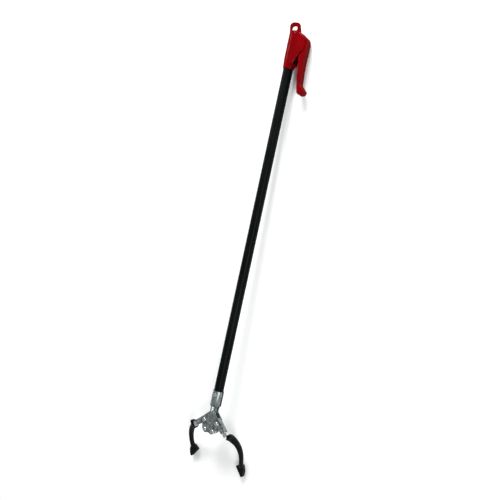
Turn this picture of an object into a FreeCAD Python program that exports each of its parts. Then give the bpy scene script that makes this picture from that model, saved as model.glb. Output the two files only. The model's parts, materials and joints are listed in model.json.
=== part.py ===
import FreeCAD, Part
import math
import os
from FreeCAD import Placement, Rotation, Vector

# Reacher grabber, in millimetres. +X runs along the tube from the handle to the jaws, +Y is the
# lever's side, +Z is the front. The origin is the centre of the hang hole, on the tube's centre line.

doc = FreeCAD.newDocument("reacher_grabber")
sheet = doc.addObject("Spreadsheet::Sheet", "Sizes")

SIZES = {
    # Handle
    "handle_half": 11.9,
    "handle_wall": 2.2,
    "handle_start": 4.8,
    "handle_end": 81.0,
    "barrel_radius": 12.7,
    "barrel_end_radius": 11.3,
    "shell_round": 3.5,
    "throat_half": 7.5,
    "loop_back": 5.6,
    "loop_front": 10.1,
    "hang_half_width": 6.2,
    "hang_half_height": 4.3,
    "screw_radius": 1.6,
    "screw_head_radius": 3.1,
    "screw_seat": 6.0,
    "boss_radius": 3.7,
    "retainer_x": 75.0,
    "retainer_y": -5.5,
    "retainer_radius": 1.5,
    "retainer_half": 9.3,
    # Trigger
    "pivot_x": 29.5,
    "pivot_y": 17.5,
    "hub_radius": 17.2,
    "trigger_half": 9.0,
    "trigger_stroke": 13.5,
    "pivot_pin_radius": 3.0,
    "running_gap": 0.06,
    "link_pin_radius": 2.0,
    "knuckle_half": 7.8,
    # Tube and rod
    "tube_radius": 10.0,
    "tube_wall": 1.2,
    "tube_start": 48.0,
    "tube_end": 776.5,
    "rod_radius": 2.0,
    # Head
    "head_x": 792.5,
    "plate_inner": 6.2,
    "sheet_steel": 1.6,
    "saddle_start": 747.5,
    "saddle_wrap": 76.0,
    "saddle_rivet_x": 755.5,
    "pivot_ahead": 20.0,
    "pivot_aside": 15.0,
    "jaw_swing": 30.6,
    "cheek_outer": 5.6,
    "cheek_steel": 1.5,
    "rivet_radius": 2.5,
    "rivet_head_radius": 4.3,
    "rivet_head_height": 1.5,
    "core_rivet_radius": 1.6,
    "spacer_ahead": 38.4,
    "spacer_aside": 9.4,
    "drive_pin_radius": 1.4,
    "guide_pin_radius": 1.9,
    "crosshead_half": 3.4,
    "collar_length": 4.5,
    "crank_tip_radius": 2.8,
    "spring_radius": 4.1,
    "spring_wire": 1.3,
    "spring_turns": 7.0,
}

for row, (alias, value) in enumerate(SIZES.items(), start=1):
    sheet.set(f"A{row}", alias)
    sheet.set(f"B{row}", str(value))
    sheet.setAlias(f"B{row}", alias)
doc.recompute()


def size(alias):
    return float(getattr(sheet, alias))


# What the driving sizes lead to
STROKE = math.radians(size("trigger_stroke"))
SWING = math.radians(size("jaw_swing"))
ROD_TRAVEL = 2 * size("pivot_y") * math.tan(STROKE / 2)
CRANK = ROD_TRAVEL / 2 / math.tan(SWING / 2)
LINK_X = size("pivot_x") + ROD_TRAVEL / 2
DRIVE_X = size("head_x") + size("pivot_ahead") + ROD_TRAVEL / 2
DRIVE_Y = size("pivot_aside") - CRANK
PLATE_OUTER = size("plate_inner") + size("sheet_steel")
JAW_PIVOT = Vector(size("head_x") + size("pivot_ahead"), size("pivot_aside"), 0)
UP = Vector(0, 0, 1)
SIDES = (("left", -1), ("right", 1))


def ahead(distance):
    """X of a place on the head, measured from the neck's end towards the jaws."""
    return size("head_x") + distance


SPACER_X = ahead(size("spacer_ahead"))


# ---------------------------------------------------------------- helpers


def origin_plane(body, role):
    return next(f for f in body.Origin.OriginFeatures if f.Role == role)


def outline(corners):
    """Closed run of lines and corner arcs. A corner is (x, y, radius)."""
    places = [Vector(x, y, 0) for x, y, _ in corners]
    joints = []
    for index, (here, (_, _, radius)) in enumerate(zip(places, corners)):
        back = (places[index - 1] - here).normalize()
        on = (places[(index + 1) % len(places)] - here).normalize()
        half = back.getAngle(on) / 2
        if radius == 0 or half > math.radians(89.5):
            joints.append((here, None, here))
            continue
        reach = radius / math.tan(half)
        centre = here + (back + on).normalize() * (radius / math.sin(half))
        middle = centre + (here - centre).normalize() * radius
        joints.append((here + back * reach, middle, here + on * reach))
    edges = []
    for index, (start, middle, end) in enumerate(joints):
        if middle is not None:
            edges.append(Part.Arc(start, middle, end))
        following = joints[(index + 1) % len(joints)][0]
        if end.distanceToPoint(following) > 1e-6:
            edges.append(Part.LineSegment(end, following))
    return edges


def padded(name, plane, edges, start, length):
    """A body with one pad: edges drawn on an origin plane, moved along its normal to start."""
    body = doc.addObject("PartDesign::Body", name)
    sketch = body.newObject("Sketcher::SketchObject", name + "_sketch")
    sketch.AttachmentSupport = [(origin_plane(body, plane), "")]
    sketch.MapMode = "FlatFace"
    sketch.setExpression("AttachmentOffset.Base.z", start)
    sketch.addGeometry(edges, False)
    pad = body.newObject("PartDesign::Pad", name + "_pad")
    pad.Profile = sketch
    pad.setExpression("Length", length)
    body.Tip = pad
    return body


def plate(name, corners, start, length):
    return padded(name, "XY_Plane", outline(corners), start, length)


def cylinder(name, radius, low, high, x=0.0, y=0.0):
    """A round bar along Z. radius, low and high are expressions on the sheet."""
    bar = doc.addObject("Part::Cylinder", name)
    bar.setExpression("Radius", radius)
    bar.setExpression("Height", f"({high}) - ({low})")
    bar.Placement = Placement(Vector(x, y, 0), Rotation())
    bar.setExpression("Placement.Base.z", low)
    return bar


def bar_along(name, radius, low, high):
    """A round bar on the tube's centre line, from X low to X high."""
    bar = doc.addObject("Part::Cylinder", name)
    bar.setExpression("Radius", radius)
    bar.setExpression("Height", f"({high}) - ({low})")
    bar.Placement = Placement(Vector(), Rotation(Vector(0, 1, 0), 90))
    bar.setExpression("Placement.Base.x", low)
    return bar


def box(name, low, high):
    block = doc.addObject("Part::Box", name)
    block.Length, block.Width, block.Height = (b - a for a, b in zip(low, high))
    block.Placement = Placement(Vector(*low), Rotation())
    return block


def joined(name, pieces):
    whole = doc.addObject("Part::MultiFuse", name)
    whole.Shapes = pieces
    whole.Refine = True
    return whole


def less(name, base, tools):
    cut = doc.addObject("Part::Cut", name)
    cut.Base = base
    cut.Tool = tools[0] if len(tools) == 1 else joined(name + "_cutter", tools)
    cut.Refine = True
    return cut


def group(name, pieces):
    """Like fasteners in one node: separate solids that don't touch."""
    several = doc.addObject("Part::Compound", name)
    several.Links = pieces
    return several


def mirrored(name, source, normal):
    other = doc.addObject("Part::Mirroring", name)
    other.Source = source
    other.Base = Vector()
    other.Normal = normal
    return other


NODES = {}


def node(label, thing):
    thing.Label = label
    NODES[label] = thing
    return thing


def rounded_head(name, radius, height, level, side, x, y):
    """A rivet's head standing on a sheet at height level: a disc with a rounded outer rim."""
    low, high = sorted([level, level + side * height])
    disc = cylinder(name + "_disc", radius, f"{low}", f"{high}", x, y)
    doc.recompute()
    rim = [
        index
        for index, edge in enumerate(disc.Shape.Edges, start=1)
        if all(abs(v.Z - (level + side * height)) < 1e-4 for v in edge.Vertexes)
    ]
    soft = doc.addObject("Part::Fillet", name)
    soft.Base = disc
    soft.Edges = [(index, height * 0.85, height * 0.85) for index in rim]
    return soft


def rivet(name, x, y, low, high):
    """A shank along Z with a rounded head at each end; low and high are the sheets' outer faces."""
    height = size("rivet_head_height")
    return joined(
        name,
        [
            cylinder(name + "_shank", "Sizes.rivet_radius", f"{low - 0.3}", f"{high + 0.3}", x, y),
            rounded_head(name + "_front", "Sizes.rivet_head_radius", height, high, 1, x, y),
            rounded_head(name + "_back", "Sizes.rivet_head_radius", height, low, -1, x, y),
        ],
    )


# ---------------------------------------------------------------- handle

EAR = [
    (7.0, 0, 0),
    (73.5, 0, 0),
    (73.5, 11.9, 4.5),
    (61.0, 17.1, 12),
    (50.5, 21.5, 12),
    (43.0, 30.6, 12),
    (17.0, 30.6, 13),
    (6.5, 14.0, 10),
]
THROAT = [
    (50.0, 0, 0),
    (80.5, 0, 0),
    (80.5, 8.2, 2),
    (66.0, 14.6, 4),
    (50.0, 18.6, 0),
]
LOOP = [
    (-11.6, -12.8, 8),
    (4.0, -10.2, 0),
    (12.0, -8.6, 0),
    (12.0, 14.6, 0),
    (5.0, 15.0, 0),
    (-11.6, 9.2, 8),
]
TRIGGER_GATE = [
    (9.6, 0.5, 0),
    (52, 0.5, 0),
    (63, 3, 0),
    (70.5, 13, 0),
    (70.5, 42, 0),
    (20, 42, 0),
    (9.6, 26, 0),
]
SCREWS = [(12.5, -5.0), (44.0, -6.2)]


def half_barrel(name, side):
    """The part of the handle that lies round the tube: a profile turned half way about the tube."""
    start, end = size("handle_start"), size("handle_end")
    profile = [
        (start, 0, 0),
        (start, size("barrel_radius"), 5),
        (60, size("barrel_radius"), 60),
        (end, size("barrel_end_radius"), 1.3),
        (end, 0, 0),
    ]
    body = doc.addObject("PartDesign::Body", name)
    sketch = body.newObject("Sketcher::SketchObject", name + "_sketch")
    sketch.AttachmentSupport = [(origin_plane(body, "XY_Plane"), "")]
    sketch.MapMode = "FlatFace"
    sketch.addGeometry(outline(profile), False)
    turned = body.newObject("PartDesign::Revolution", name + "_turned")
    turned.Profile = sketch
    turned.ReferenceAxis = (next(f for f in body.Origin.OriginFeatures if f.Role == "X_Axis"), [""])
    turned.Angle = 180
    turned.Reversed = side < 0
    body.Tip = turned
    return body


def between(side, near, far):
    """Two heights as text, in rising order, on the front or back side of the parting plane."""
    low, high = sorted([side * near, side * far])
    return f"{low}", f"{high}"


def handle_shell(name, side):
    """One moulded half. side is 1 for the front half, which carries the hang loop, or -1."""
    half = size("handle_half")
    ear = plate(name + "_ear", EAR, "0" if side > 0 else "-Sizes.handle_half", "Sizes.handle_half")
    doc.recompute()
    rim = [
        index
        for index, edge in enumerate(ear.Shape.Edges, start=1)
        if all(abs(v.Z - side * half) < 1e-4 for v in edge.Vertexes) and edge.CenterOfMass.y > 1
    ]
    soft_ear = doc.addObject("Part::Fillet", name + "_soft_ear")
    soft_ear.Base = ear
    soft_ear.Edges = [(index, size("shell_round"), size("shell_round")) for index in rim]
    depth = "Sizes.throat_half"
    throat = plate(name + "_throat", THROAT, "0" if side > 0 else f"-{depth}", depth)
    skins = [half_barrel(name + "_barrel", side), soft_ear, throat]
    if side > 0:
        loop_depth = "Sizes.loop_front - Sizes.loop_back"
        skins.append(plate(name + "_loop", LOOP, "Sizes.loop_back", loop_depth))
    gate_half = size("trigger_half") + 0.7
    hollows = [
        bar_along(name + "_hollow", "Sizes.tube_radius", "Sizes.handle_start + 2.6", "Sizes.tube_start + 1"),
        plate(name + "_gate", TRIGGER_GATE, "-1" if side > 0 else f"{-gate_half}", f"{gate_half + 1}"),
    ]
    shell = less(name + "_hollowed", joined(name + "_solid", skins), hollows)

    posts = [
        cylinder(f"{name}_post{index}", "Sizes.boss_radius", *between(side, 0, size("barrel_radius")), x, y)
        for index, (x, y) in enumerate(SCREWS)
    ]
    inside = doc.addObject("Part::MultiCommon", name + "_posts")
    inside.Shapes = [
        joined(name + "_all_posts", posts),
        bar_along(
            name + "_post_limit",
            "Sizes.barrel_radius - 0.6",
            "Sizes.handle_start + 1",
            "Sizes.tube_start + 1",
        ),
    ]
    pivot_boss = cylinder(
        name + "_pivot_boss",
        "Sizes.pivot_pin_radius + 3",
        *between(side, size("trigger_half") + 0.3, half - size("handle_wall") + 0.5),
        size("pivot_x"),
        size("pivot_y"),
    )
    whole = joined(name + "_body", [shell, inside, pivot_boss])

    holes = [
        bar_along(name + "_tube_seat", "Sizes.tube_radius", "Sizes.tube_start", "Sizes.handle_end + 5"),
        cylinder(
            name + "_pin_hole",
            "Sizes.pivot_pin_radius",
            *between(side, -1, half - 1.4),
            size("pivot_x"),
            size("pivot_y"),
        ),
        cylinder(
            name + "_retainer_hole",
            "Sizes.retainer_radius",
            *between(side, -1, size("retainer_half")),
            size("retainer_x"),
            size("retainer_y"),
        ),
    ]
    for index, (x, y) in enumerate(SCREWS):
        shank = between(side, -1, 8.5 if side > 0 else size("screw_seat") + 1)
        holes.append(cylinder(f"{name}_screw_hole{index}", "Sizes.screw_radius", *shank, x, y))
        if side < 0:
            seat = between(side, size("screw_seat"), half + 2)
            holes.append(cylinder(f"{name}_sink{index}", "Sizes.screw_head_radius", *seat, x, y))
    if side > 0:
        tall, wide = size("hang_half_height"), size("hang_half_width")
        arch = [(-tall, -wide, 5.5), (tall, -wide, 1.8), (tall, wide, 1.8), (-tall, wide, 5.5)]
        holes.append(plate(name + "_hang_hole", arch, "-1", "20"))
    return less(name, whole, holes)


node("handle_shell_front", handle_shell("handle_shell_front", 1))
node("handle_shell_back", handle_shell("handle_shell_back", -1))

screws = []
for index, (x, y) in enumerate(SCREWS):
    top = size("screw_seat")
    shank = cylinder(f"screw{index}_shank", "Sizes.screw_radius", f"{-top}", "8", x, y)
    head = cylinder(f"screw{index}_head", "Sizes.screw_head_radius", f"{-top - 1.6}", f"{-top}", x, y)
    slot = box(f"screw{index}_slot", (x - 2.4, y - 0.4, -top - 2), (x + 2.4, y + 0.4, -top - 0.8))
    screws.append(less(f"screw{index}", joined(f"screw{index}_blank", [shank, head]), [slot]))
node("handle_screws", group("handle_screws", screws))

node(
    "tube_retaining_pin",
    cylinder(
        "tube_retaining_pin",
        "Sizes.retainer_radius",
        "-Sizes.retainer_half",
        "Sizes.retainer_half",
        size("retainer_x"),
        size("retainer_y"),
    ),
)
node(
    "trigger_pivot_pin",
    cylinder(
        "trigger_pivot_pin",
        "Sizes.pivot_pin_radius",
        "1.4 - Sizes.handle_half",
        "Sizes.handle_half - 1.4",
        size("pivot_x"),
        size("pivot_y"),
    ),
)

# ---------------------------------------------------------------- trigger

LEVER = [
    (29.5, 34.7, 0),
    (68.0, 33.8, 0),
    (109.5, 36.6, 9),
    (122.0, 49.2, 2.2),
    (128.8, 46.6, 2.5),
    (130.4, 38.5, 4),
    (127.2, 34.1, 5),
    (118.0, 31.6, 14),
    (95.0, 26.6, 60),
    (66.0, 22.8, 20),
    (51.5, 20.2, 9),
    (44.0, 13.5, 3),
    (34.0, 8.0, 0),
]


def trigger():
    half = "Sizes.trigger_half"
    lever = plate("trigger_lever_arm", LEVER, f"-{half}", f"2 * {half}")
    hub = cylinder("trigger_hub", "Sizes.hub_radius", f"-{half}", half, size("pivot_x"), size("pivot_y"))
    knuckle = cylinder(
        "trigger_knuckle",
        "Sizes.link_pin_radius + 2.6",
        "-Sizes.knuckle_half",
        "Sizes.knuckle_half",
        LINK_X,
    )
    whole = joined("trigger_solid", [lever, hub, knuckle])
    pivot = cylinder(
        "trigger_pivot_hole",
        "Sizes.pivot_pin_radius + Sizes.running_gap",
        "-20",
        "20",
        size("pivot_x"),
        size("pivot_y"),
    )
    link = cylinder("trigger_link_hole", "Sizes.link_pin_radius", "-20", "20", LINK_X)
    fork = box("trigger_fork", (8, -8, -3.5), (54, 9.2, 3.5))
    return less("trigger", whole, [pivot, link, fork])


node("trigger_lever", trigger())
node(
    "trigger_link_pin",
    cylinder(
        "trigger_link_pin",
        "Sizes.link_pin_radius",
        "-Sizes.knuckle_half",
        "Sizes.knuckle_half",
        LINK_X,
    ),
)

# ---------------------------------------------------------------- tube, rod and guides

tube = padded(
    "shaft_tube",
    "YZ_Plane",
    [
        Part.Circle(Vector(), UP, size("tube_radius")),
        Part.Circle(Vector(), UP, size("tube_radius") - size("tube_wall")),
    ],
    "Sizes.tube_start",
    "Sizes.tube_end - Sizes.tube_start",
)
tube_holes = [
    cylinder(
        "tube_retainer_hole",
        "Sizes.retainer_radius",
        "-15",
        "15",
        size("retainer_x"),
        size("retainer_y"),
    ),
    cylinder("tube_saddle_hole", "Sizes.rivet_radius", "-15", "15", size("saddle_rivet_x")),
]
node("shaft_tube", less("shaft_tube_drilled", tube, tube_holes))


def rod_eye():
    block = box("rod_eye_block", (LINK_X - 4.8, -4.6, -3), (LINK_X + 8, 4.6, 3))
    gap = size("link_pin_radius") + 0.1
    slot = plate(
        "rod_eye_slot",
        [
            (LINK_X - gap, -gap - 0.5, gap - 0.01),
            (LINK_X + gap, -gap - 0.5, gap - 0.01),
            (LINK_X + gap, gap + 0.5, gap - 0.01),
            (LINK_X - gap, gap + 0.5, gap - 0.01),
        ],
        "-4",
        "8",
    )
    bore = bar_along("rod_eye_bore", "Sizes.rod_radius", f"{LINK_X + 4}", f"{LINK_X + 12}")
    return less("rod_eye", block, [slot, bore])


node("rod_eye", rod_eye())
rod_ends = f"{LINK_X + 4}", f"{DRIVE_X - size('crosshead_half')}"
node("pull_rod", bar_along("pull_rod", "Sizes.rod_radius", *rod_ends))

guide_bore = "Sizes.rod_radius + Sizes.running_gap"
guide_fit = "Sizes.tube_radius - Sizes.tube_wall"
node(
    "rear_rod_guide",
    less(
        "rear_rod_guide",
        bar_along("rear_guide_plug", guide_fit, "Sizes.tube_start + 1", "Sizes.tube_start + 13"),
        [bar_along("rear_guide_bore", guide_bore, "Sizes.tube_start", "Sizes.tube_start + 14")],
    ),
)
front_plug = joined(
    "front_guide_body",
    [
        bar_along("front_guide_plug", guide_fit, "Sizes.tube_end - 14", "Sizes.tube_end"),
        bar_along("front_guide_flange", "5.9", "Sizes.tube_end", "Sizes.tube_end + 3"),
    ],
)
node(
    "front_rod_guide",
    less(
        "front_rod_guide",
        front_plug,
        [bar_along("front_guide_bore", guide_bore, "Sizes.tube_end - 15", "Sizes.tube_end + 4")],
    ),
)

# ---------------------------------------------------------------- crosshead

COLLAR_END = DRIVE_X - size("crosshead_half")
COLLAR_START = COLLAR_END - size("collar_length")
node(
    "rod_collar",
    less(
        "rod_collar",
        bar_along("rod_collar_blank", "5.2", f"{COLLAR_START}", f"{COLLAR_END}"),
        [bar_along("rod_collar_bore", "Sizes.rod_radius", f"{COLLAR_START - 1}", f"{DRIVE_X}")],
    ),
)


def crosshead():
    low, high = DRIVE_X - size("crosshead_half"), DRIVE_X + size("crosshead_half")
    block = plate(
        "crosshead_block",
        [(low, -8.4, 2.4), (high, -8.4, 2.4), (high, 8.4, 2.4), (low, 8.4, 2.4)],
        "-3.5",
        "7",
    )
    holes = [
        cylinder("crosshead_guide_hole", "Sizes.guide_pin_radius", "-5", "5", DRIVE_X, 0),
        cylinder("crosshead_left_hole", "Sizes.drive_pin_radius", "-5", "5", DRIVE_X, -DRIVE_Y),
        cylinder("crosshead_right_hole", "Sizes.drive_pin_radius", "-5", "5", DRIVE_X, DRIVE_Y),
    ]
    return less("crosshead", block, holes)


node("crosshead", crosshead())
node(
    "crosshead_guide_pin",
    cylinder(
        "crosshead_guide_pin",
        "Sizes.guide_pin_radius",
        f"{-PLATE_OUTER - 0.5}",
        f"{PLATE_OUTER + 0.5}",
        DRIVE_X,
        0,
    ),
)
node(
    "jaw_drive_pins",
    group(
        "jaw_drive_pins",
        [
            cylinder(
                f"drive_pin_{word}",
                "Sizes.drive_pin_radius",
                "-Sizes.cheek_outer - 0.3",
                "Sizes.cheek_outer + 0.3",
                DRIVE_X,
                side * DRIVE_Y,
            )
            for word, side in SIDES
        ],
    ),
)


def return_spring():
    """Round wire wound on a helix about the rod, between the guide's flange and the collar."""
    wire = size("spring_wire") / 2
    start = size("tube_end") + 3 + wire + 0.05
    length = COLLAR_START - wire - 0.05 - start
    helix = Part.makeHelix(length / size("spring_turns"), length, size("spring_radius"))
    section = Part.Wire(Part.makeCircle(wire, Vector(size("spring_radius"), 0, 0), Vector(0, 1, 0)))
    coil = Part.Wire(helix).makePipeShell([section], True, True)
    coil.rotate(Vector(), Vector(0, 1, 0), 90)
    coil.translate(Vector(start, 0, 0))
    spring = doc.addObject("Part::Feature", "return_spring")
    spring.Shape = coil
    return spring


node("return_spring", return_spring())

# ---------------------------------------------------------------- head plates

PLATE_HALF = [
    (-15.9, 9.4, 0),
    (-9.0, 5.7, 5),
    (-1.0, 5.4, 4),
    (12.5, 19.2, 5),
    (33.0, 16.8, 12),
    (38.6, 15.4, 5.5),
    (45.2, 9.2, 5.0),
    (42.2, 0, 6),
]
PLATE = [(ahead(a), y, r) for a, y, r in PLATE_HALF]
PLATE += [(x, -y, r) for x, y, r in reversed(PLATE[:-1])]


def band(inner, outer, wrap, side):
    """Edges of a ring sector centred on the Z direction, drawn across the tube."""
    turn = math.radians(wrap)

    def spot(radius, angle):
        return Vector(radius * math.sin(angle), side * radius * math.cos(angle), 0)

    return [
        Part.Arc(spot(outer, -turn), spot(outer, 0), spot(outer, turn)),
        Part.LineSegment(spot(outer, turn), spot(inner, turn)),
        Part.Arc(spot(inner, turn), spot(inner, 0), spot(inner, -turn)),
        Part.LineSegment(spot(inner, -turn), spot(outer, -turn)),
    ]


def end_wall(outer, level, side):
    """Edges of the part of a disc that lies past a flat at height level."""
    reach = math.sqrt(outer**2 - level**2)
    left, right = Vector(-reach, side * level, 0), Vector(reach, side * level, 0)
    return [
        Part.Arc(left, Vector(0, side * outer, 0), right),
        Part.LineSegment(right, left),
    ]


def head_plate(name, side):
    steel = size("sheet_steel")
    inner, outer = size("tube_radius"), size("tube_radius") + steel
    low = size("plate_inner") if side > 0 else -PLATE_OUTER
    flat = plate(name + "_flat", PLATE, str(low), "Sizes.sheet_steel")
    saddle = padded(
        name + "_saddle",
        "YZ_Plane",
        band(inner, outer, size("saddle_wrap"), side),
        "Sizes.saddle_start",
        "Sizes.tube_end - Sizes.saddle_start + Sizes.sheet_steel",
    )
    wall = padded(
        name + "_wall",
        "YZ_Plane",
        end_wall(outer, size("plate_inner"), side),
        "Sizes.tube_end",
        "Sizes.sheet_steel",
    )
    whole = joined(name + "_blank", [flat, saddle, wall])
    slot_half = size("guide_pin_radius") + size("running_gap")
    slot_low = DRIVE_X - ROD_TRAVEL - slot_half - 0.4
    slot_high = DRIVE_X + slot_half + 0.4
    slot = plate(
        name + "_slot",
        [
            (slot_low, -slot_half, slot_half - 0.01),
            (slot_high, -slot_half, slot_half - 0.01),
            (slot_high, slot_half, slot_half - 0.01),
            (slot_low, slot_half, slot_half - 0.01),
        ],
        "-12",
        "24",
    )
    holes = [slot]
    places = {"saddle": (size("saddle_rivet_x"), 0)}
    for word, turn in SIDES:
        places[f"pivot_{word}"] = (JAW_PIVOT.x, turn * JAW_PIVOT.y)
        places[f"spacer_{word}"] = (SPACER_X, turn * size("spacer_aside"))
    for word, (x, y) in places.items():
        holes.append(cylinder(f"{name}_{word}_hole", "Sizes.rivet_radius", "-15", "15", x, y))
    if side > 0:
        holes.append(
            plate(
                name + "_window",
                [
                    (ahead(-11.5), -3.4, 2),
                    (ahead(1), -3.4, 2),
                    (ahead(1), 3.4, 2),
                    (ahead(-11.5), 3.4, 2),
                ],
                "0",
                "12",
            )
        )
    return less(name, whole, holes)


node("head_plate_front", head_plate("head_plate_front", 1))
node("head_plate_back", head_plate("head_plate_back", -1))

for word, side in SIDES:
    label = f"pivot_rivet_{word}"
    node(label, rivet(label, JAW_PIVOT.x, side * JAW_PIVOT.y, -PLATE_OUTER, PLATE_OUTER))


def ring(name, outer, low, high, x, y):
    """A washer or spacer that fits round a rivet."""
    return less(
        name,
        cylinder(name + "_disc", outer, low, high, x, y),
        [cylinder(name + "_bore", "Sizes.rivet_radius", f"{low} - 1", f"{high} + 1", x, y)],
    )



node(
    "lower_rivets",
    group(
        "lower_rivets",
        [
            rivet(f"lower_rivet_{word}", SPACER_X, side * size("spacer_aside"), -PLATE_OUTER, PLATE_OUTER)
            for word, side in SIDES
        ],
    ),
)
node(
    "lower_spacers",
    group(
        "lower_spacers",
        [
            ring(
                f"lower_spacer_{word}",
                "4",
                "-Sizes.plate_inner",
                "Sizes.plate_inner",
                SPACER_X,
                side * size("spacer_aside"),
            )
            for word, side in SIDES
        ],
    ),
)
cheek_inner = size("cheek_outer") - size("cheek_steel")
node(
    "pivot_spacers",
    group(
        "pivot_spacers",
        [
            ring(
                f"pivot_spacer_{word}",
                "3.6",
                f"{0.1 - cheek_inner}",
                f"{cheek_inner - 0.1}",
                JAW_PIVOT.x,
                side * JAW_PIVOT.y,
            )
            for word, side in SIDES
        ],
    ),
)
washers = []
for word, side in SIDES:
    place = (JAW_PIVOT.x, side * JAW_PIVOT.y)
    front = ("Sizes.cheek_outer + 0.1", "Sizes.plate_inner")
    back = ("-Sizes.plate_inner", "-Sizes.cheek_outer - 0.1")
    washers.append(ring(f"front_washer_{word}", "5", *front, *place))
    washers.append(ring(f"back_washer_{word}", "5", *back, *place))
node("pivot_washers", group("pivot_washers", washers))


def saddle_rivet(name, side):
    """A blind rivet through one saddle and the tube's wall, clear of the rod."""
    outer = size("tube_radius") + size("sheet_steel")
    bore = size("tube_radius") - size("tube_wall")
    levels = [
        ("tail", 3.2, bore - 2.0, bore - 0.6),
        ("shank", size("rivet_radius"), bore - 0.8, outer + 0.2),
        ("head", 4.2, outer, outer + 1.2),
    ]
    pieces = []
    for word, radius, low, high in levels:
        low, high = sorted([side * low, side * high])
        pieces.append(cylinder(f"{name}_{word}", str(radius), str(low), str(high), size("saddle_rivet_x")))
    return joined(name, pieces)


node(
    "saddle_rivets",
    group("saddle_rivets", [saddle_rivet("saddle_rivet_front", 1), saddle_rivet("saddle_rivet_back", -1)]),
)

# ---------------------------------------------------------------- jaws

ARM_OUT = Vector(0.70, 0.714, 0).normalize()
ARM_END = Vector(ahead(35.2), 35.4, 0)
ARM = [
    (ahead(6.0), 12.0, 3),
    (ahead(29.6), 37.6, 1.5),
    (ahead(37.2), 30.6, 1.5),
    (ahead(29.6), 20.5, 6),
    (ahead(26.5), 13.5, 4),
]
WEB_START = Vector(ahead(8.5), 14.7, 0)
WEB_END = Vector(ahead(28.3), 36.2, 0)
CRANK_TURN = SWING / 2


def jaw_arm():
    """The right arm: two cheeks and an outer web, with the crank that the drive pin moves."""
    inner = size("cheek_outer") - size("cheek_steel")
    tip = JAW_PIVOT + Vector(math.sin(CRANK_TURN), -math.cos(CRANK_TURN), 0) * (CRANK + 0.45)
    along = (tip - JAW_PIVOT).normalize()
    across = Vector(-along.y, along.x, 0)
    solids = []
    for word, low in (("front", inner), ("back", -size("cheek_outer"))):
        high = f"{low + size('cheek_steel')}"
        solids.append(plate(f"arm_{word}", ARM, str(low), "Sizes.cheek_steel"))
        solids.append(cylinder(f"arm_eye_{word}", "6.6", str(low), high, JAW_PIVOT.x, JAW_PIVOT.y))
        solids.append(cylinder(f"arm_tip_{word}", "Sizes.crank_tip_radius", str(low), high, tip.x, tip.y))
        narrow = across * size("crank_tip_radius")
        bridge = [JAW_PIVOT - across * 5.2, JAW_PIVOT + across * 5.2, tip + narrow, tip - narrow]
        bridge = [(p.x, p.y, 0) for p in bridge]
        solids.append(plate(f"arm_crank_{word}", bridge, str(low), "Sizes.cheek_steel"))
        solids.append(
            plate(
                f"arm_root_{word}",
                [
                    (JAW_PIVOT.x - 6.2, JAW_PIVOT.y - 1.8, 0),
                    (JAW_PIVOT.x + 6, JAW_PIVOT.y - 2, 0),
                    (ahead(30.2), 24, 0),
                    (ahead(12), 19.5, 0),
                ],
                str(low),
                "Sizes.cheek_steel",
            )
        )
    run = (WEB_END - WEB_START).normalize()
    inside = Vector(run.y, -run.x, 0) * size("cheek_steel")
    corners = [WEB_START, WEB_END, WEB_END + inside, WEB_START + inside]
    corners = [(p.x, p.y, 0) for p in corners]
    solids.append(plate("arm_web", corners, "-Sizes.cheek_outer", "2 * Sizes.cheek_outer"))
    whole = joined("arm_blank", solids)
    half = size("drive_pin_radius") + 0.22
    near = JAW_PIVOT + along * (CRANK - 0.3)
    far = JAW_PIVOT + along * (CRANK + 0.7)
    slot = [near - across * half, near + across * half, far + across * half, far - across * half]
    holes = [
        cylinder("arm_pivot", "Sizes.rivet_radius + Sizes.running_gap", "-9", "9", JAW_PIVOT.x, JAW_PIVOT.y),
        plate("arm_slot", [(p.x, p.y, 0) for p in slot], "-9", "18"),
        cylinder("arm_slot_near", f"{half}", "-9", "9", near.x, near.y),
        cylinder("arm_slot_far", f"{half}", "-9", "9", far.x, far.y),
    ]
    return less("jaw_arm_right", whole, holes)


node("jaw_arm_right", jaw_arm())

CORE_HALF_WIDTH = 3.2
CORE_HEAD_HALF_WIDTH = 5.0
CORE_HALF_DEPTH = 2.2
CORE_RIVETS = (("inner", -9), ("outer", -3))


def finger_core():
    """Flat bar set between the arm's cheeks. It widens past the arm, where it is bare before the rubber."""
    back, step, front = (ARM_END + ARM_OUT * reach for reach in (-12, -1.6, 6))
    across = Vector(-ARM_OUT.y, ARM_OUT.x, 0)
    narrow, wide = across * CORE_HALF_WIDTH, across * CORE_HEAD_HALF_WIDTH
    run = [back - narrow, step - narrow, step - wide, front - wide]
    run += [front + wide, step + wide, step + narrow, back + narrow]
    corners = [(p.x, p.y, 0) for p in run]
    bar = plate("finger_bar", corners, f"{-CORE_HALF_DEPTH}", f"{2 * CORE_HALF_DEPTH}")
    keys = []
    for word, reach in CORE_RIVETS:
        spot = ARM_END + ARM_OUT * reach
        ends = ("-Sizes.cheek_outer", "Sizes.cheek_outer")
        keys.append(cylinder(f"core_rivet_{word}", "Sizes.core_rivet_radius", *ends, spot.x, spot.y))
    return joined("finger_core_right", [bar] + keys)


node("finger_core_right", finger_core())
core_holes = []
for word, reach in CORE_RIVETS:
    spot = ARM_END + ARM_OUT * reach
    core_holes.append(cylinder(f"arm_core_hole_{word}", "Sizes.core_rivet_radius", "-9", "9", spot.x, spot.y))
node("jaw_arm_right", less("jaw_arm_right_drilled", NODES["jaw_arm_right"], core_holes))

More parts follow.
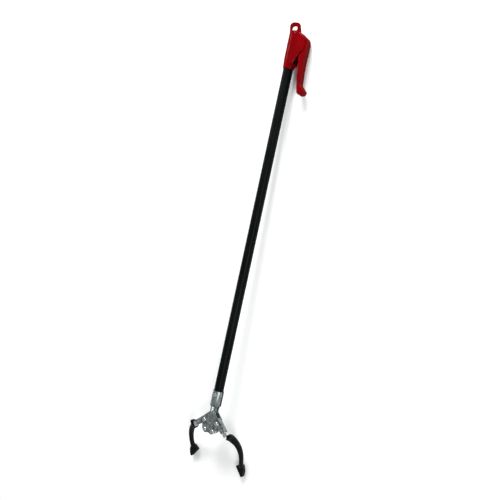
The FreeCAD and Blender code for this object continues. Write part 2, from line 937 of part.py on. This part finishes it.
# Centre line of a rubber finger: ahead, aside, height, width across, depth
FINGER = [
    (37.4, 40.4, -4.0, 17.4, 14.4),
    (41.6, 44.6, -10.2, 16.6, 14.2),
    (46.4, 49.5, -16.8, 14.6, 14.0),
    (52.0, 55.1, -21.4, 12.6, 13.8),
    (58.8, 59.4, -25.8, 11.2, 13.4),
    (67.0, 62.3, -30.4, 10.2, 12.8),
    (77.5, 63.9, -35.9, 9.2, 12.0),
    (88.0, 63.9, -40.9, 8.8, 11.2),
    (97.0, 62.9, -45.6, 9.2, 10.8),
    (104.5, 61.6, -51.0, 9.8, 10.6),
]
PAD_HEEL = Vector(ahead(107.4), 49.7, 0)
PAD_TIP = Vector(ahead(128.6), 64.4, 0)
PAD_HALF_DEPTH = 5.2
PAD_HEIGHT = -53.6
PAD_LEAN = 0.24
TEETH = 6
TOOTH_DEPTH = 1.1


def pad_outline():
    """Wedge at a finger's end: a toothed inner face from heel to tip, and a rounded back."""
    face = PAD_TIP - PAD_HEEL
    step = face / (TEETH + 0.5)
    sunk = Vector(-face.y, face.x, 0).normalize() * TOOTH_DEPTH
    corners = [(ahead(100.0), 58.2, 3)]
    for tooth in range(TEETH):
        crest = PAD_HEEL + step * tooth
        valley = crest + step * 0.55 + sunk
        corners += [(crest.x, crest.y, 0.4), (valley.x, valley.y, 0)]
    corners += [
        (PAD_TIP.x, PAD_TIP.y, 1.0),
        (ahead(124.2), 67.6, 2.5),
        (ahead(112.8), 69.2, 5),
        (ahead(99.5), 66.4, 4),
    ]
    return corners


def rubber_grip():
    """The right finger's rubber: a tapering curved bar swept back from the arm, ending in a wedge."""
    places = [Vector(ahead(a), y, z) for a, y, z, _, _ in FINGER]
    rings = []
    for index, (place, (_, _, _, width, depth)) in enumerate(zip(places, FINGER)):
        along = places[min(index + 1, len(places) - 1)] - places[max(index - 1, 0)]
        if index == 0:
            along = Vector(ARM_OUT)
        along.normalize()
        across = UP.cross(along).normalize()
        through = along.cross(across).normalize()
        radii = [across * (width / 2), through * (depth / 2)]
        long_way, short_way = sorted(radii, key=lambda v: -v.Length)
        oval = Part.Ellipse(place + long_way, place + short_way, place)
        rings.append(Part.Wire(oval.toShape()))
    bar = Part.makeLoft(rings, True, False)
    wedge = Part.Face(Part.Wire([edge.toShape() for edge in outline(pad_outline())]))
    wedge.translate(Vector(0, 0, PAD_HEIGHT - PAD_HALF_DEPTH))
    wedge = wedge.extrude(Vector(0, 0, 2 * PAD_HALF_DEPTH))
    lean = FreeCAD.Matrix()
    lean.A31 = -PAD_LEAN
    lean.A34 = PAD_LEAN * PAD_HEEL.x
    wedge = wedge.transformGeometry(lean)
    grip = bar.fuse(wedge).removeSplitter()
    feature = doc.addObject("Part::Feature", "rubber_finger")
    feature.Shape = grip
    return less("finger_grip_right", feature, [NODES["finger_core_right"]])


node("finger_grip_right", rubber_grip())
for part in ("jaw_arm", "finger_core", "finger_grip"):
    node(f"{part}_left", mirrored(f"{part}_left", NODES[f"{part}_right"], Vector(0, 1, 0)))

# ---------------------------------------------------------------- check and write

doc.recompute()
failed = [o.Name for o in doc.Objects if {"Invalid", "Error"} & set(o.State)]
if failed:
    raise RuntimeError(f"failed objects: {failed}")
for label, thing in NODES.items():
    shape = thing.Shape
    if shape.isNull() or not shape.isValid() or not shape.Solids:
        raise RuntimeError(f"{label} has no valid solid")

os.makedirs("parts", exist_ok=True)
for label, thing in NODES.items():
    thing.Shape.exportStep(f"parts/{label}.step")
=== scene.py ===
"""Looks of the reacher grabber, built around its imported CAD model."""
import json
import math

import bmesh
import bpy
from mathutils import Matrix, Vector

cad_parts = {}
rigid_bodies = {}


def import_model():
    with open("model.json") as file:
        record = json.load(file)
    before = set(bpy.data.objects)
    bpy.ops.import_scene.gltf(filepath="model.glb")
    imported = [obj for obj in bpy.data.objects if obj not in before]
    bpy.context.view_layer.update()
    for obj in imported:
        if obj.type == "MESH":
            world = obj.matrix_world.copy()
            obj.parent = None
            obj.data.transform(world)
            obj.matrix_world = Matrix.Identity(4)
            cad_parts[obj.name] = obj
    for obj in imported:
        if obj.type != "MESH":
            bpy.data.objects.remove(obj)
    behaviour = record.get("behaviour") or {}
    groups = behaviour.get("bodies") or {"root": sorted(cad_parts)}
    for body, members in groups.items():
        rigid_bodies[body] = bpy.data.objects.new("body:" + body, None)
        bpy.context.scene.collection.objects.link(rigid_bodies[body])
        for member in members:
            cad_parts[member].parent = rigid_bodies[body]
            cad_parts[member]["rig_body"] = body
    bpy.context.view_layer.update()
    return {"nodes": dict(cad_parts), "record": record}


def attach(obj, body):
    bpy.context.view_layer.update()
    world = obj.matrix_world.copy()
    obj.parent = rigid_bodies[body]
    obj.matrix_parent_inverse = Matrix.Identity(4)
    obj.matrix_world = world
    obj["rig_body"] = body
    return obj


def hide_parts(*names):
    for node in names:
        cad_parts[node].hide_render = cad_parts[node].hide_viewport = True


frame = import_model()
nodes = frame["nodes"]
scene = bpy.context.scene

# Camera: above the grabber, displaced to the lever's side
SIDE_ANGLE = math.radians(29.975)
TILT = math.radians(-2.667)
ROLL = math.radians(12.216)
DISTANCE = 1.42167
AIM = Vector((0.45219, 0.00328, 0.0))
FOCAL_LENGTH = 50.42
HALF_PIXEL = 0.001


def add_camera():
    """Looks at the whole length of the grabber, which runs down the frame."""
    back = Vector((0, math.sin(SIDE_ANGLE), math.cos(SIDE_ANGLE)))
    up = Vector((-1, 0, 0))
    right = Vector((0, math.cos(SIDE_ANGLE), -math.sin(SIDE_ANGLE)))
    tilted_back = math.cos(TILT) * back - math.sin(TILT) * up
    tilted_up = math.cos(TILT) * up + math.sin(TILT) * back
    rolled_right = math.cos(ROLL) * right + math.sin(ROLL) * tilted_up
    rolled_up = -math.sin(ROLL) * right + math.cos(ROLL) * tilted_up
    turn = Matrix((rolled_right, rolled_up, tilted_back)).transposed()
    camera = bpy.data.objects.new("camera", bpy.data.cameras.new("camera"))
    scene.collection.objects.link(camera)
    camera.matrix_world = Matrix.Translation(AIM + DISTANCE * tilted_back) @ turn.to_4x4()
    camera.data.sensor_width = 36
    camera.data.lens = FOCAL_LENGTH
    camera.data.shift_x = -HALF_PIXEL
    camera.data.shift_y = HALF_PIXEL
    camera.data.clip_start = 0.01
    camera.data.clip_end = 50
    scene.camera = camera


add_camera()


# Materials

def new_material(name):
    """A material with its nodes, links and main shader."""
    material = bpy.data.materials.new(name)
    material.use_nodes = True
    tree = material.node_tree
    return material, tree, tree.nodes["Principled BSDF"]


def noise(tree, scale, detail=3.0, roughness=0.5, stretch=None):
    """A noise texture in object space, drawn out along an axis where stretch is given."""
    place = tree.nodes.new("ShaderNodeTexCoord")
    texture = tree.nodes.new("ShaderNodeTexNoise")
    texture.inputs["Scale"].default_value = scale
    texture.inputs["Detail"].default_value = detail
    texture.inputs["Roughness"].default_value = roughness
    if stretch is None:
        tree.links.new(place.outputs["Object"], texture.inputs["Vector"])
    else:
        mapping = tree.nodes.new("ShaderNodeMapping")
        mapping.inputs["Scale"].default_value = stretch
        tree.links.new(place.outputs["Object"], mapping.inputs["Vector"])
        tree.links.new(mapping.outputs["Vector"], texture.inputs["Vector"])
    return texture.outputs["Fac"]


def ramp(tree, factor, stops):
    """A colour ramp over (position, colour) stops."""
    node = tree.nodes.new("ShaderNodeValToRGB")
    elements = node.color_ramp.elements
    while len(elements) < len(stops):
        elements.new(0.5)
    for element, (position, colour) in zip(elements, stops):
        element.position = position
        element.color = (*colour, 1)
    tree.links.new(factor, node.inputs["Fac"])
    return node.outputs["Color"]


def span(tree, factor, low, high, from_low=0.0, from_high=1.0):
    """A value between low and high that follows the factor."""
    node = tree.nodes.new("ShaderNodeMapRange")
    node.inputs["From Min"].default_value = from_low
    node.inputs["From Max"].default_value = from_high
    node.inputs["To Min"].default_value = low
    node.inputs["To Max"].default_value = high
    tree.links.new(factor, node.inputs["Value"])
    return node.outputs["Result"]


def bump(tree, shader, height, strength, distance, before=None):
    """Relief from a height, on top of an earlier relief if one is given."""
    node = tree.nodes.new("ShaderNodeBump")
    node.inputs["Strength"].default_value = strength
    node.inputs["Distance"].default_value = distance
    tree.links.new(height, node.inputs["Height"])
    if before is not None:
        tree.links.new(before, node.inputs["Normal"])
    tree.links.new(node.outputs["Normal"], shader.inputs["Normal"])
    return node.outputs["Normal"]


def red_plastic():
    """Glossy injection-moulded red: faint flow marks, fine scuffs and a slight orange peel."""
    material, tree, shader = new_material("red_plastic_look")
    flow = noise(tree, scale=30, detail=4, roughness=0.55, stretch=(0.5, 1.4, 1.4))
    colour = ramp(tree, flow, [(0.3, (0.112, 0.0003, 0.0012)), (0.7, (0.158, 0.0006, 0.002))])
    tree.links.new(colour, shader.inputs["Base Color"])
    scuffs = noise(tree, scale=240, detail=6, roughness=0.7, stretch=(0.5, 1.0, 1.0))
    tree.links.new(span(tree, scuffs, 0.17, 0.27, 0.35, 0.75), shader.inputs["Roughness"])
    peel = bump(tree, shader, noise(tree, scale=220, detail=2), strength=0.12, distance=0.0004)
    bump(tree, shader, noise(tree, scale=1600), strength=0.05, distance=0.0001, before=peel)
    shader.inputs["Specular IOR Level"].default_value = 0.0
    shader.inputs["Coat Weight"].default_value = 0.05
    shader.inputs["Coat IOR"].default_value = 1.8
    shader.inputs["Coat Roughness"].default_value = 0.12
    return material


def black_tube():
    """Black anodised aluminium, with drawing lines along it and fine scratches."""
    material, tree, shader = new_material("black_tube_look")
    tone = noise(tree, scale=60, detail=5, roughness=0.6, stretch=(0.25, 1.0, 1.0))
    colour = ramp(tree, tone, [(0.3, (0.0008, 0.0012, 0.0011)), (0.75, (0.003, 0.0045, 0.0043))])
    tree.links.new(colour, shader.inputs["Base Color"])
    lines = noise(tree, scale=900, roughness=0.6, stretch=(0.02, 1.0, 1.0))
    tree.links.new(span(tree, lines, 0.34, 0.5, 0.3, 0.7), shader.inputs["Roughness"])
    drawn = bump(tree, shader, lines, strength=0.12, distance=0.0001)
    bump(tree, shader, noise(tree, scale=2600), strength=0.12, distance=0.00008, before=drawn)
    shader.inputs["Specular IOR Level"].default_value = 0.05
    return material


CRYSTAL_SCALE = 330
CRYSTAL_CONTRAST = 0.45


def zinc_steel(name, dark, light, rough_low, rough_high):
    """Zinc-plated sheet: mottled grey with bright and dull crystals and rubbed places."""
    material, tree, shader = new_material(name)
    place = tree.nodes.new("ShaderNodeTexCoord")
    crystals = tree.nodes.new("ShaderNodeTexVoronoi")
    crystals.inputs["Scale"].default_value = CRYSTAL_SCALE
    tree.links.new(place.outputs["Object"], crystals.inputs["Vector"])
    tone = tree.nodes.new("ShaderNodeRGBToBW")
    tree.links.new(crystals.outputs["Color"], tone.inputs["Color"])
    cloud = noise(tree, scale=130, detail=5, roughness=0.65)
    blend = tree.nodes.new("ShaderNodeMath")
    blend.operation = "MULTIPLY_ADD"
    tree.links.new(tone.outputs["Val"], blend.inputs[0])
    blend.inputs[1].default_value = CRYSTAL_CONTRAST
    tree.links.new(span(tree, cloud, 0.0, 0.6, 0.3, 0.7), blend.inputs[2])
    colour = ramp(tree, blend.outputs[0], [(0.15, dark), (0.85, light)])
    tree.links.new(colour, shader.inputs["Base Color"])
    tree.links.new(span(tree, blend.outputs[0], rough_high, rough_low), shader.inputs["Roughness"])
    relief = noise(tree, scale=700, detail=5, roughness=0.6)
    grain = bump(tree, shader, relief, strength=0.25, distance=0.0002)
    bump(tree, shader, blend.outputs[0], strength=0.15, distance=0.0002, before=grain)
    shader.inputs["Metallic"].default_value = 0.85
    return material


def bright_steel(name, dark, light, rough_low, rough_high, scale=500):
    """Bare turned or drawn steel with fine marks."""
    material, tree, shader = new_material(name)
    marks = noise(tree, scale, detail=5, roughness=0.6)
    colour = ramp(tree, marks, [(0.3, dark), (0.7, light)])
    tree.links.new(colour, shader.inputs["Base Color"])
    tree.links.new(span(tree, marks, rough_low, rough_high, 0.3, 0.7), shader.inputs["Roughness"])
    bump(tree, shader, marks, strength=0.12, distance=0.0001)
    shader.inputs["Metallic"].default_value = 1.0
    return material


def white_nylon():
    """Milky moulded nylon."""
    material, tree, shader = new_material("white_nylon_look")
    cloud = noise(tree, scale=300, detail=4)
    colour = ramp(tree, cloud, [(0.3, (0.36, 0.36, 0.33)), (0.7, (0.48, 0.47, 0.44))])
    tree.links.new(colour, shader.inputs["Base Color"])
    tree.links.new(span(tree, cloud, 0.38, 0.52), shader.inputs["Roughness"])
    bump(tree, shader, noise(tree, scale=1500), strength=0.1, distance=0.0001)
    shader.inputs["Subsurface Weight"].default_value = 0.1
    shader.inputs["Subsurface Scale"].default_value = 0.001
    return material


def black_rubber():
    """Matt black rubber with a fine grain, dusty in places."""
    material, tree, shader = new_material("black_rubber_look")
    dust = noise(tree, scale=90, detail=5, roughness=0.6)
    colour = ramp(tree, dust, [(0.35, (0.001, 0.001, 0.0011)), (0.75, (0.0035, 0.0035, 0.0038))])
    tree.links.new(colour, shader.inputs["Base Color"])
    tree.links.new(span(tree, dust, 0.5, 0.66, 0.3, 0.7), shader.inputs["Roughness"])
    coarse = bump(tree, shader, noise(tree, scale=420), strength=0.12, distance=0.0003)
    grain = noise(tree, scale=1900, detail=4, roughness=0.6)
    bump(tree, shader, grain, strength=0.3, distance=0.00015, before=coarse)
    shader.inputs["Specular IOR Level"].default_value = 0.1
    shader.inputs["Sheen Weight"].default_value = 0.01
    shader.inputs["Sheen Roughness"].default_value = 0.5
    return material


FINISH = {
    "red_plastic": red_plastic(),
    "black_tube": black_tube(),
    "dark_steel": zinc_steel("zinc_steel_look", (0.026, 0.034, 0.034), (0.34, 0.39, 0.39), 0.26, 0.5),
    "plain_steel": bright_steel("plain_steel_look", (0.55, 0.56, 0.57), (0.75, 0.76, 0.77), 0.3, 0.45),
    "bright_rivet": bright_steel("bright_rivet_look", (0.5, 0.51, 0.52), (0.72, 0.73, 0.74), 0.16, 0.3),
    "spring_steel": bright_steel(
        "spring_steel_look", (0.3, 0.31, 0.32), (0.5, 0.51, 0.52), 0.2, 0.36, scale=900
    ),
    "dark_screw": bright_steel(
        "dark_screw_look", (0.02, 0.02, 0.022), (0.05, 0.05, 0.055), 0.3, 0.5, scale=800
    ),
    "white_nylon": white_nylon(),
    "black_rubber": black_rubber(),
}

SLOT_OF = {part["node"]: part["material_slot"] for part in frame["record"]["subparts"]}


# Pieces

def dress(obj, material):
    """Puts one material on an object."""
    obj.data.materials.clear()
    obj.data.materials.append(material)


SAME_POINT = 1e-6


def copy_of(node, name):
    """A new piece with a copy of a CAD node's mesh, its doubled points merged."""
    piece = bpy.data.objects.new(name, nodes[node].data.copy())
    scene.collection.objects.link(piece)
    mesh = bmesh.new()
    mesh.from_mesh(piece.data)
    bmesh.ops.remove_doubles(mesh, verts=mesh.verts, dist=SAME_POINT)
    mesh.to_mesh(piece.data)
    mesh.free()
    return piece


def apply_modifiers(piece):
    """Replaces the piece's mesh by the one that its modifiers give."""
    graph = bpy.context.evaluated_depsgraph_get()
    made = bpy.data.meshes.new_from_object(piece.evaluated_get(graph))
    piece.modifiers.clear()
    piece.data = made


def keep_largest_shell(piece):
    """Leaves only the largest of the mesh's separate closed shells."""
    mesh = bmesh.new()
    mesh.from_mesh(piece.data)
    left = set(mesh.faces)
    shells = []
    while left:
        shell = []
        reached = [left.pop()]
        while reached:
            face = reached.pop()
            shell.append(face)
            near = {other for edge in face.edges for other in edge.link_faces} & left
            left -= near
            reached.extend(near)
        shells.append(shell)
    shells.sort(key=len)
    spare = [face for shell in shells[:-1] for face in shell]
    bmesh.ops.delete(mesh, geom=spare, context="FACES")
    mesh.to_mesh(piece.data)
    mesh.free()


def softened(node, name, rounds):
    """A CAD node remade as a fine closed mesh whose edges are rounded like a moulding's."""
    piece = copy_of(node, name)
    remesh = piece.modifiers.new("remesh", "REMESH")
    remesh.mode = "VOXEL"
    remesh.voxel_size = VOXEL
    ease = piece.modifiers.new("ease", "SMOOTH")
    ease.factor = 0.5
    ease.iterations = rounds
    apply_modifiers(piece)
    keep_largest_shell(piece)
    piece.data.polygons.foreach_set("use_smooth", [True] * len(piece.data.polygons))
    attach(piece, nodes[node]["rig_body"])
    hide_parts(node)
    dress(piece, FINISH[SLOT_OF[node]])


def ease_edges(node):
    """Rounds a pressed or turned part's sharp edges slightly, so they catch the light."""
    weld = node.modifiers.new("weld", "WELD")
    weld.merge_threshold = WELD_GAP
    bevel = node.modifiers.new("bevel", "BEVEL")
    bevel.width = BEVEL_WIDTH
    bevel.segments = 2
    bevel.limit_method = "ANGLE"
    bevel.angle_limit = SHARP_ANGLE
    bevel.harden_normals = True


WELD_GAP = 1e-5
BEVEL_WIDTH = 0.00025
SHARP_ANGLE = math.radians(50)
EASED = ("head_plate", "finger_core", "saddle_rivets", "crosshead", "rod_collar", "lower_spacers")

for node_name, node in nodes.items():
    dress(node, FINISH[SLOT_OF[node_name]])
    if node_name.startswith(EASED):
        ease_edges(node)

VOXEL = 0.00045

softened("handle_shell_front", "front_shell_moulding", rounds=6)
softened("handle_shell_back", "back_shell_moulding", rounds=6)
softened("trigger_lever", "trigger_lever_moulding", rounds=22)
softened("finger_grip_left", "left_rubber_finger", rounds=4)
softened("finger_grip_right", "right_rubber_finger", rounds=4)


# Floor and light

HANDLE_REST = Vector((0.007, 0.0, -0.0129))
FINGER_REST = Vector((0.920, 0.0, -0.0646))
FLOOR_SLOPE = math.atan2(HANDLE_REST.z - FINGER_REST.z, FINGER_REST.x - HANDLE_REST.x)
FLOOR_HALF_WIDTH = 6


def add_floor():
    """A plain pale floor that the handle's back and the fingertips rest on."""
    floor = bpy.data.objects.new("floor", bpy.data.meshes.new("floor"))
    scene.collection.objects.link(floor)
    mesh = bmesh.new()
    bmesh.ops.create_grid(mesh, x_segments=1, y_segments=1, size=FLOOR_HALF_WIDTH)
    mesh.to_mesh(floor.data)
    mesh.free()
    floor.rotation_euler = (0, FLOOR_SLOPE, 0)
    floor.location = HANDLE_REST
    material, _, shader = new_material("floor_look")
    shader.inputs["Base Color"].default_value = (0.86, 0.87, 0.865, 1)
    shader.inputs["Roughness"].default_value = 0.9
    floor.data.materials.append(material)


def add_lamp(name, place, aim, length, width, power):
    """A soft rectangular lamp at a place, turned towards an aim."""
    lamp = bpy.data.objects.new(name, bpy.data.lights.new(name, "AREA"))
    scene.collection.objects.link(lamp)
    lamp.data.shape = "RECTANGLE"
    lamp.data.size = length
    lamp.data.size_y = width
    lamp.data.energy = power
    lamp.location = place
    lamp.rotation_euler = (Vector(aim) - Vector(place)).to_track_quat("-Z", "Y").to_euler()


add_floor()
add_lamp("key", place=(-2.9, -0.5, 2.3), aim=(0.6, 0, 0), length=1.7, width=1.7, power=240)
add_lamp("front", place=(0.8, 1.7, 1.9), aim=(0.6, 0, 0), length=1.3, width=0.6, power=34)
add_lamp("strip", place=(-0.44, -1.25, 1.05), aim=(0.04, 0, 0), length=0.7, width=0.06, power=11)

world = bpy.data.worlds.new("studio")
scene.world = world
world.use_nodes = True
background = world.node_tree.nodes["Background"]
background.inputs["Color"].default_value = (1, 1, 1, 1)
background.inputs["Strength"].default_value = 0.4
scene.view_settings.view_transform = "Standard"
